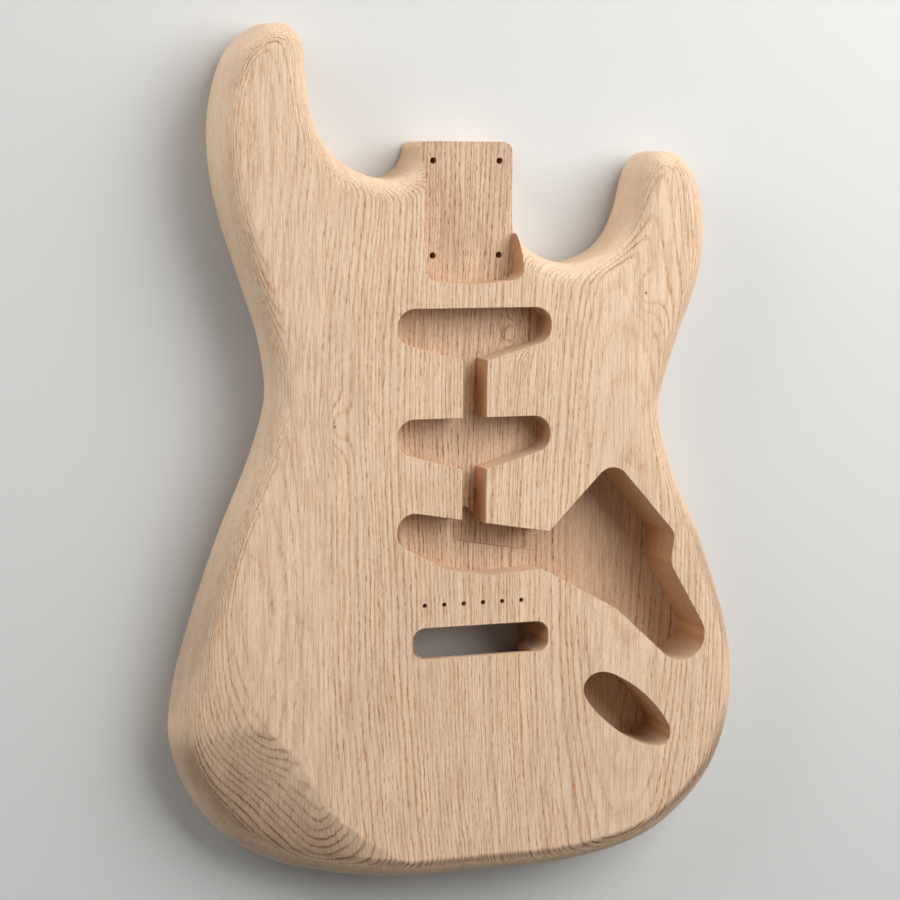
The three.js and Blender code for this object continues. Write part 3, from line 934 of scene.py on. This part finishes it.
class NodeBench:
    """Adds shader nodes to one tree and links them."""

    def __init__(self, tree: NodeTree) -> None:
        """Takes the tree that the nodes go into."""
        self.tree = tree

    def node(self, kind: str, inputs: dict[str | int, Any] | None = None, **settings: Any) -> Node:
        """Adds a node.

        Args:
            kind: Type name of the node.
            inputs: Sockets or numbers for its inputs, by name or place.
            **settings: Settings of the node itself.

        Returns:
            The node.
        """
        made = self.tree.nodes.new(kind)
        for name, value in settings.items():
            setattr(made, name, value)
        for name, value in (inputs or {}).items():
            if isinstance(value, NodeSocket):
                self.tree.links.new(value, made.inputs[name])
            else:
                made.inputs[name].default_value = value
        return made

    def math(self, operation: str, *values: Any) -> NodeSocket:
        """Returns the result of a Math node."""
        return self.node("ShaderNodeMath", dict(enumerate(values)), operation=operation).outputs[0]

    def times(self, *values: Any) -> NodeSocket:
        """Returns the product of numbers."""
        return reduce(lambda product, value: self.math("MULTIPLY", product, value), values)

    def minus(self, first: Any, second: Any) -> NodeSocket:
        """Returns the first number less the second."""
        return self.math("SUBTRACT", first, second)

    def vector(self, operation: str, *values: Any) -> NodeSocket:
        """Returns the result of a Vector Math node."""
        made = self.node("ShaderNodeVectorMath", dict(enumerate(values)), operation=operation)
        return made.outputs["Value" if operation in ("LENGTH", "DOT_PRODUCT") else "Vector"]

    def parts(self, vector: NodeSocket) -> Any:
        """Returns a vector's three parts, by letter."""
        return self.node("ShaderNodeSeparateXYZ", {0: vector}).outputs

    def noise(self, place: NodeSocket, grain: Grain, output: str = "Fac") -> NodeSocket:
        """Returns a noise at a place."""
        spread = self.vector("MULTIPLY", place, (grain.across, grain.along, grain.across))
        return self.node("ShaderNodeTexNoise", {"Vector": spread, "Scale": 1.0, "Detail": grain.detail,
                                                "Roughness": grain.roughness}).outputs[output]

    def noise_along(self, place: NodeSocket, detail: float) -> NodeSocket:
        """Returns a noise along one number."""
        return self.node("ShaderNodeTexNoise", {"W": place, "Scale": 1.0, "Detail": detail},
                         noise_dimensions="1D").outputs["Fac"]

    def ramp(self, value: NodeSocket, low: float, high: float, start: float = 0.0,
             end: float = 1.0) -> NodeSocket:
        """Returns a value eased from start to end as it goes from low to high."""
        limits = {"Value": value, "From Min": low, "From Max": high, "To Min": start, "To Max": end}
        return self.node("ShaderNodeMapRange", limits, interpolation_type="SMOOTHSTEP").outputs["Result"]

    def blend(self, share: Any, first: Any, second: Any) -> NodeSocket:
        """Returns two colours mixed by a share."""
        return self.node("ShaderNodeMix", {0: share, 6: first, 7: second}, data_type="RGBA").outputs[2]


def new_group(name: str, vectors: Sequence[str], numbers: Sequence[str], results: Sequence[str]) -> NodeBench:
    """Starts a node group with its sockets.

    Args:
        name: Name of the group.
        vectors: Names of its vector inputs.
        numbers: Names of its number inputs.
        results: Names of its outputs, which are numbers.

    Returns:
        The bench that fills the group.
    """
    group = bpy.data.node_groups.new(name, "ShaderNodeTree")
    for names, way, kind in ((vectors, "INPUT", "Vector"), (numbers, "INPUT", "Float"),
                             (results, "OUTPUT", "Float")):
        for socket in names:
            group.interface.new_socket(socket, in_out=way, socket_type=f"NodeSocket{kind}")
    return NodeBench(group)


SWAY_START = -200.0  # place along the grain beyond which the pith sways
SWAY_LENGTH = 100.0  # length in which it sways by its full amount
UNEVEN_LENGTH = 8.0  # how far out from the pith the width of the rings changes
UNEVEN_DEPTH = 4.5  # how far it pushes a ring
YEAR_SEED = 3.7  # step from one year to the next in the noise that sets their strength


def growth_group() -> NodeTree:
    """Builds the node group of ash's growth: rings about a bowed pith, open pores and fibre.

    Returns:
        The group. Its lengths are in millimetres.
    """
    bench = new_group("ash_growth", ("Position", "Normal", "Pith"),
                      ("Sway", "Bow", "Bow Middle", "Bow Length", "Ring Width", "Tight Radius", "Tight Gain",
                       "Waver", "Shift", "Bend"), ("Ring", "Pores", "Fibre", "Band", "Cloud", "Fleck"))
    entry = bench.node("NodeGroupInput").outputs
    shift = bench.node("ShaderNodeCombineXYZ", {"X": entry["Shift"], "Y": entry["Shift"]}).outputs[0]
    seeded = bench.vector("ADD", entry["Position"], shift)
    place = bench.vector("SUBTRACT", entry["Position"], entry["Pith"])
    # Slow, middling and fine waves make the rings wander
    for grain, reach in (
        (Grain(1 / 60, 1 / 170, 1.0), entry["Waver"]),
        (Grain(1 / 7, 1 / 26), (1.6, 0.0, 0.4)),
        (Grain(1 / 1.1, 1 / 3.5, 1.0), (1.0, 0.0, 0.3)),
    ):
        stray = bench.vector("SUBTRACT", bench.noise(seeded, grain, "Color"), (0.5, 0.5, 0.5))
        place = bench.vector("ADD", place, bench.vector("MULTIPLY", stray, reach))
    # The pith sways sideways beyond the bridge and bows up and down along the grain
    math, times, minus, ramp = bench.math, bench.times, bench.minus, bench.ramp
    along = bench.parts(entry["Position"])["Y"]
    beyond = times(math("MAXIMUM", minus(SWAY_START, along), 0.0), 1 / SWAY_LENGTH)
    turn = times(math("DIVIDE", minus(along, entry["Bow Middle"]), entry["Bow Length"]), 2 * pi)
    across = minus(bench.parts(place)["X"], times(beyond, beyond, entry["Sway"]))
    depth = minus(bench.parts(place)["Z"], times(minus(1.0, math("COSINE", turn)), entry["Bow"]))
    outwards = bench.node("ShaderNodeCombineXYZ", {"X": across, "Z": depth}).outputs[0]
    radius = bench.vector("LENGTH", outwards)
    # Rings show strongly where the surface slices them and weakly where it lies along them
    facing = math("DIVIDE", bench.vector("DOT_PRODUCT", outwards, entry["Normal"]), radius)
    tilt = math("ABSOLUTE", bench.parts(entry["Normal"])["Y"])
    aside = ramp(minus(1.0, times(facing, facing)), 0.0, 0.12, 0.3, 1.0)
    sliced = times(math("MAXIMUM", ramp(tilt, 0.01, 0.22, 0.3, 1.0), aside), ramp(tilt, 0.3, 0.7, 1.0, 0.5))
    # Years are uneven, and tighter inside one radius. Each starts with a band of porous early wood
    radius = math("ADD", radius, entry["Bend"])
    uneven = times(minus(bench.noise_along(times(radius, 1 / UNEVEN_LENGTH), 1.0), 0.5), UNEVEN_DEPTH)
    years = math("DIVIDE", math("ADD", radius, uneven), entry["Ring Width"])
    inside = math("MINIMUM", minus(radius, entry["Tight Radius"]), 0.0)
    years = minus(years, times(inside, inside, entry["Tight Gain"]))
    phase = math("FRACT", years)
    early = times(ramp(phase, 0.0, 0.12), ramp(phase, 0.14, 0.48, 1.0, 0.0))
    strength = ramp(bench.noise_along(times(math("FLOOR", years), YEAR_SEED), 0.0), 0.3, 0.7, 0.6, 1.0)
    faded = ramp(bench.noise(seeded, Grain(1 / 6, 1 / 40, 1.0)), 0.35, 0.6, 0.5, 1.0)
    ring = times(early, strength, faded, sliced)
    streak = ramp(bench.noise(seeded, Grain(1.5, 0.2, 2.0, 0.6)), 0.5, 0.66)
    bench.node("NodeGroupOutput", {
        "Ring": ring,
        "Pores": times(streak, ramp(ring, 0.0, 0.5, 0.2, 1.0)),
        "Fibre": bench.noise(seeded, Grain(1.2, 0.035, 3.0, 0.7)),
        "Fleck": bench.noise(seeded, Grain(1.9, 0.45, 2.0, 0.7)),
        "Band": bench.noise(seeded, Grain(1 / 5, 1 / 200)),
        "Cloud": bench.noise(seeded, Grain(1 / 30, 1 / 70)),
    })
    return bench.tree


def pin_knot_group() -> NodeTree:
    """Builds the node group of a pin knot: a thin dark dot that the rings bend round.

    Returns:
        The group. Its lengths are in millimetres.
    """
    bench = new_group("pin_knot", ("Position", "Knot"), ("Reach", "Push", "Size"), ("Bend", "Dot"))
    entry = bench.node("NodeGroupInput").outputs
    apart = bench.vector("SUBTRACT", entry["Position"], entry["Knot"])
    # The bend is drawn out along the grain, and the dot is round
    drawn_out, round_span = (bench.vector("LENGTH", bench.vector("MULTIPLY", apart, (1.0, along, 0.0)))
                             for along in (0.62, 1.0))
    share = bench.math("DIVIDE", drawn_out, entry["Reach"])
    near = bench.math("EXPONENT", bench.times(share, share, -1.0))
    dot = bench.ramp(bench.math("DIVIDE", round_span, entry["Size"]), 0.5, 1.15, 1.0, 0.0)
    bench.node("NodeGroupOutput", {"Bend": bench.times(near, entry["Push"]), "Dot": dot})
    return bench.tree


# Finishes


def srgb(red: int, green: int, blue: int) -> Colour:
    """Turns a screen colour, 0 to 255, into the linear colour that a shader takes."""
    shares = [level / 255 for level in (red, green, blue)]
    return *(share / 12.92 if share <= 0.04045 else ((share + 0.055) / 1.055) ** 2.4 for share in shares), 1.0


@dataclass(frozen=True)
class Knot:
    """A pin knot: its place, how far and how much it bends the rings, and the size of its dot."""

    place: Place
    reach: float = 8.0
    push: float = 2.6
    size: float = 0.9


@dataclass(frozen=True)
class Growth:
    """How one board grew: where its pith runs, how wide its rings are and where its knots are."""

    pith: Place
    sway: float
    bow: float
    bow_middle: float
    bow_length: float
    ring_width: float
    tight_radius: float
    tight_gain: float
    waver: float
    shift: float
    knots: tuple[Knot, ...]

    def rings(self) -> dict[str, Any]:
        """Returns the numbers that the ring group takes, under its own names."""
        return {size.name.replace("_", " ").title(): getattr(self, size.name)
                for size in fields(self) if size.name != "knots"}


@dataclass(frozen=True)
class AshFinish:
    """Bare ash: its colours, with painted shade and painted light among them, roughness and how open its
    pores are.
    """

    name: str
    late: Colour
    early: Colour
    pore: Colour
    # dark colour of open end grain, which also serves as painted shade on the forearm contour and the tail's
    # edges
    open_end_and_painted_shade: Colour
    # wall colours: the routed walls' darker, more saturated brown is painted shade, and the lighter tan of
    # walls facing along the grain is partly end grain's tone and partly painted light from the neck end
    wall: Colour
    end_wall_and_painted_light: Colour
    wall_cover: float
    fleck: float
    mottle: float
    roughness: float
    relief: float
    knot: Colour = srgb(96, 62, 40)
    knot_cover: float = 0.8
    # share of that dark colour laid on tilted end grain between the rings too, mostly painted shade
    end_shade_cover: float = 0.6
    band: float = 0.035
    specular: float = 0.3
    bump: float = 0.5

    def colour(self, bench: NodeBench, grown: Any, facing: Any, place: Any, dot: NodeSocket) -> NodeSocket:
        """Washes the colours of rings, fibres, pores, end grain, walls and knots, with painted shade and
        painted light among them, over the late wood's.

        Args:
            bench: Bench of the material.
            grown: Results of the ring group.
            facing: Parts of the surface's normal.
            place: Parts of the place in the wood.
            dot: How much of a pin knot's dot there is.

        Returns:
            The colour.
        """
        times, ramp = bench.times, bench.ramp
        kept = ramp(bench.math("ABSOLUTE", facing["Z"]), 0.3, 0.96, 1.0 - self.wall_cover, 1.0)
        tilt = bench.math("ABSOLUTE", facing["Y"])
        # End grain where the surface tilts along the grain, on the forearm contour and the rounded edges. Its
        # darkening is partly real open pores and partly painted shade on faces turned from the lamps, made
        # stronger towards the tail.
        end = times(ramp(tilt, 0.02, 0.24, 0.0, 0.9), ramp(tilt, 0.26, 0.5, 1.0, 0.3),
                    ramp(place["Y"], -240.0, -140.0, 1.0, 0.2))
        ring = times(grown["Ring"], kept)
        colour = self.late
        for share, tint in (
            (ring, self.early),
            (times(ramp(grown["Fibre"], 0.45, 0.66, 0.0, 0.5), kept), self.early),
            (times(grown["Pores"], kept), self.pore),
            (times(ring, end), self.open_end_and_painted_shade),
            (times(end, self.end_shade_cover), self.open_end_and_painted_shade),
            # walls take the wall colour: for the routed finish a painted-shade brown, lightened by painted
            # light where they face along the grain
            (bench.minus(1.0, kept), bench.blend(ramp(tilt, 0.3, 0.85), self.wall, self.end_wall_and_painted_light)),
            (times(dot, self.knot_cover), self.knot),
        ):
            colour = bench.blend(share, colour, tint)
        return colour

    def build(self, growth: Growth, groups: dict[str, NodeTree]) -> Material:
        """Builds the material for one board.

        Args:
            growth: How the board grew.
            groups: The groups that draw the rings and the pin knot.

        Returns:
            The material.
        """
        material = bpy.data.materials.new(self.name)
        material.use_nodes = True
        bench = NodeBench(material.node_tree)
        surface = bench.node("ShaderNodeTexCoord").outputs
        place = bench.vector("MULTIPLY", surface["Object"], (1 / MM, 1 / MM, 1 / MM))
        bend, dot = 0.0, 0.0
        for knot in growth.knots:
            inputs = {"Position": place, "Knot": knot.place, "Reach": knot.reach, "Push": knot.push,
                      "Size": knot.size}
            made = bench.node("ShaderNodeGroup", inputs, node_tree=groups["knot"]).outputs
            bend = bench.math("ADD", bend, made["Bend"])
            dot = bench.math("MAXIMUM", dot, made["Dot"])
        inputs = {"Position": place, "Normal": surface["Normal"], "Bend": bend, **growth.rings()}
        grown = bench.node("ShaderNodeGroup", inputs, node_tree=groups["rings"]).outputs
        colour = self.colour(bench, grown, bench.parts(surface["Normal"]), bench.parts(place), dot)
        tone = bench.times(
            bench.ramp(grown["Fibre"], 0.32, 0.64, 1.045, 0.95),
            *(bench.ramp(grown[name], 0.3, 0.7, 1.0 - depth, 1.0 + depth)
              for name, depth in (("Cloud", self.mottle), ("Fleck", self.fleck), ("Band", self.band))))
        relief = bench.node("ShaderNodeBump", {"Strength": self.bump, "Distance": self.relief * MM,
                                               "Height": bench.minus(1.0, grown["Pores"])})
        shader = material.node_tree.nodes["Principled BSDF"]
        shader.inputs["Roughness"].default_value = self.roughness
        shader.inputs["Specular IOR Level"].default_value = self.specular
        links = material.node_tree.links
        links.new(bench.vector("MULTIPLY", colour, tone), shader.inputs["Base Color"])
        links.new(relief.outputs["Normal"], shader.inputs["Normal"])
        return material


# The dark open-end colours are partly painted shade on the contour and the tail's edges.
SANDED = AshFinish("sanded_ash", late=srgb(230, 202, 173), early=srgb(198, 149, 105), pore=srgb(180, 129, 86),
                   open_end_and_painted_shade=srgb(108, 80, 62), wall=srgb(226, 198, 170), end_wall_and_painted_light=srgb(226, 198, 170),
                   wall_cover=0.5, fleck=0.03, mottle=0.03, roughness=0.62, relief=0.08)
# The routed walls' brown is painted shade, and their end walls' lighter tan is partly painted light.
ROUTED = AshFinish("routed_ash", late=srgb(221, 190, 160), early=srgb(180, 134, 100), pore=srgb(142, 97, 68),
                   open_end_and_painted_shade=srgb(136, 96, 70), wall=srgb(190, 140, 97), end_wall_and_painted_light=srgb(208, 176, 144),
                   wall_cover=0.75, fleck=0.07, mottle=0.06, roughness=0.74, relief=0.14)
BASS_GROWTH = Growth(pith=(-133.0, 0.0, 274.0), sway=6.0, bow=1.0, bow_middle=30.0, bow_length=265.0,
                     ring_width=1.1, tight_radius=255.0, tight_gain=0.0105, waver=4.5, shift=0.0,
                     knots=(Knot((-78.9, -114.6, 0.0)),))
TREBLE_GROWTH = Growth(pith=(90.0, 0.0, 122.0), sway=0.0, bow=7.0, bow_middle=-190.0, bow_length=700.0,
                       ring_width=1.45, tight_radius=0.0, tight_gain=0.0, waver=5.0, shift=317.0,
                       knots=(Knot((99.8, -46.3, 0.0)),
                              Knot((29.0, -69.0, 0.0), reach=6.0, push=5.0, size=0.1)))


# Assembly


@dataclass
class GuitarBody:
    """The whole body: the blank, everything cut into it, and its two boards."""

    blank: Blank = field(default_factory=Blank)
    heel: Heel = field(default_factory=Heel)
    weld: float = 0.002
    smooth_angle: float = 38.0
    face_weight: int = 60

    def build(self) -> None:
        """Shapes the body, parts it into its boards and puts each in the place of its CAD node."""
        groups = {"rings": growth_group(), "knot": pin_knot_group()}
        finishes = {side: Finishes(SANDED.build(growth, groups), ROUTED.build(growth, groups))
                    for side, growth in ((Side.BASS, BASS_GROWTH), (Side.TREBLE, TREBLE_GROWTH))}
        wood = self.shape(finishes[Side.BASS])
        for side, name, node, slot in (
            (Side.BASS, "bass_board", "bass_side_board", "bass_side_ash"),
            (Side.TREBLE, "treble_board", "treble_side_board", "treble_side_ash"),
        ):
            board = self.part(wood, side, name)
            first, second = board.material_slots
            first.material, second.material = finishes[side].sanded, finishes[side].routed
            self.smooth(board)
            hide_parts(node)
            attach(board, "root")
            log.info("%s: %d faces, in place of %s", name, len(board.data.polygons), node)
        bpy.data.objects.remove(wood, do_unlink=True)

    def shape(self, finishes: Finishes) -> Object:
        """Cuts the contours, cavities and holes into the rounded blank.

        Args:
            finishes: Finishes that pass to the faces that are cut.

        Returns:
            The shaped body in one piece.
        """
        blank, heel = self.blank, self.heel
        outline = Outline(blank, heel)
        wood = RoundedBlank(outline).build(finishes.sanded)
        control, jack, mortise = ControlCavity(blank), JackCavity(blank), BridgeMortise(blank)
        for cutting in (
            Contour(outline, "forearm_contour", Face.TOP, start=(0.668, -0.293), peak=(0.820, -0.717),
                    end=(-0.054, -0.789), drop=14.0, reach=60.0),
            Contour(outline, "belly_contour", Face.BACK, start=(0.817, 0.090), peak=(0.597, -0.225),
                    end=(0.977, -0.560), drop=14.0, reach=88.0),
            NeckPocket(blank, heel),
            PickupCavities(blank),
            control,
            jack,
            mortise,
            WireWays(mortise, control, jack),
        ):
            cut(wood, cutting.cutters(finishes))
            log.info("cut %s, %d faces", type(cutting).__name__, len(wood.data.polygons))
        return wood

    def part(self, wood: Object, side: Side, name: str) -> Object:
        """Saws one board off along the glue line.

        Args:
            wood: The whole body, which stays as it is.
            side: The side that is kept.
            name: Name of the board.

        Returns:
            The board.
        """
        board = wood.copy()
        board.data = wood.data.copy()
        board.name = name
        board.data.name = name
        bpy.context.scene.collection.objects.link(board)
        pick(board)
        bpy.ops.object.mode_set(mode="EDIT")
        bpy.ops.mesh.select_all(action="SELECT")
        bpy.ops.mesh.bisect(plane_co=(self.blank.seam_x * MM, 0.0, 0.0), plane_no=(1.0, 0.0, 0.0),
                            use_fill=True, clear_outer=side is Side.BASS, clear_inner=side is Side.TREBLE)
        bpy.ops.mesh.select_all(action="SELECT")
        bpy.ops.mesh.remove_doubles(threshold=self.weld * MM)
        bpy.ops.mesh.normals_make_consistent(inside=False)
        bpy.ops.object.mode_set(mode="OBJECT")
        return board

    def smooth(self, board: Object) -> None:
        """Shades the rounded edges smooth and keeps the flats flat.

        Args:
            board: The board that is shaded.
        """
        pick(board)
        bpy.ops.object.shade_smooth_by_angle(angle=radians(self.smooth_angle))
        modifier = board.modifiers.new("flat_faces", "WEIGHTED_NORMAL")
        modifier.mode = "FACE_AREA"
        modifier.weight = self.face_weight
        modifier.keep_sharp = True
        bpy.ops.object.modifier_apply(modifier=modifier.name)


# Studio


@dataclass(frozen=True)
class Lamp:
    """A soft square lamp: its name, place and size in metres, and power in watts."""

    name: str
    place: Place
    size: float
    power: float


@dataclass
class Studio:
    """The pale floor, the soft lights and the camera at the photograph's place, in metres and degrees."""

    floor_colour: Colour = srgb(216, 216, 214)
    floor_size: float = 12.0
    floor_drop: float = 0.0004
    floor_roughness: float = 0.9
    floor_specular: float = 0.1
    lamps: Sequence[Lamp] = (
        Lamp("main_light", (0.8, 0.6, 1.0), 1.5, 30.0),
        Lamp("fill_light", (-1.4, 0.7, 0.5), 1.0, 13.0),
    )
    aim: Place = (0.0, -0.13, 0.02)
    world_strength: float = 0.15
    lens: float = 96.493
    sensor_width: float = 36.0
    clip_end: float = 50.0
    camera_place: Place = (-0.45095, 0.03307, 1.25662)
    camera_turn: Place = (-7.31595, -19.76793, 0.40384)

    def build(self) -> None:
        """Builds the floor, the lights and the camera."""
        self.lay_floor()
        self.light()
        self.set_camera()
        log.info("set the floor, the lights and the camera")

    def lay_floor(self) -> None:
        """Lays a plain pale floor under the body."""
        deselect_everything()
        bpy.ops.mesh.primitive_plane_add(size=self.floor_size, location=(0.0, 0.0, 0.0))
        floor = bpy.context.active_object
        floor.name = "floor"
        floor.data.transform(Matrix.Translation((0.0, 0.0, -self.floor_drop)))
        material = bpy.data.materials.new("pale_floor")
        material.use_nodes = True
        shader = material.node_tree.nodes["Principled BSDF"]
        shader.inputs["Base Color"].default_value = self.floor_colour
        shader.inputs["Roughness"].default_value = self.floor_roughness
        shader.inputs["Specular IOR Level"].default_value = self.floor_specular
        floor.data.materials.append(material)

    def light(self) -> None:
        """Sets a soft main light above the neck end, a weak one opposite and an even pale world."""
        for lamp in self.lamps:
            deselect_everything()
            bpy.ops.object.light_add(type="AREA", location=lamp.place)
            made = bpy.context.active_object
            made.name = lamp.name
            made.data.size = lamp.size
            made.data.energy = lamp.power
            towards = Vector(self.aim) - Vector(lamp.place)
            made.rotation_euler = towards.to_track_quat("-Z", "Y").to_euler()
        world = bpy.data.worlds.new("studio")
        world.use_nodes = True
        background = world.node_tree.nodes["Background"]
        background.inputs["Color"].default_value = (1.0, 1.0, 1.0, 1.0)
        background.inputs["Strength"].default_value = self.world_strength
        bpy.context.scene.world = world
        bpy.context.scene.view_settings.view_transform = "Standard"

    def set_camera(self) -> None:
        """Sets the camera at the photograph's place, turn and lens."""
        deselect_everything()
        bpy.ops.object.camera_add(location=self.camera_place,
                                  rotation=tuple(radians(angle) for angle in self.camera_turn))
        camera = bpy.context.active_object
        camera.name = "photo_camera"
        camera.data.lens = self.lens
        camera.data.sensor_width = self.sensor_width
        camera.data.sensor_fit = "HORIZONTAL"
        camera.data.clip_end = self.clip_end
        bpy.context.scene.camera = camera


def main() -> None:
    """Builds the body and the studio."""
    logging.basicConfig(level=logging.INFO, format="%(name)s: %(message)s")
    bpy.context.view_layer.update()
    GuitarBody().build()
    Studio().build()


if __name__ == "__main__":
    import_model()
    main()
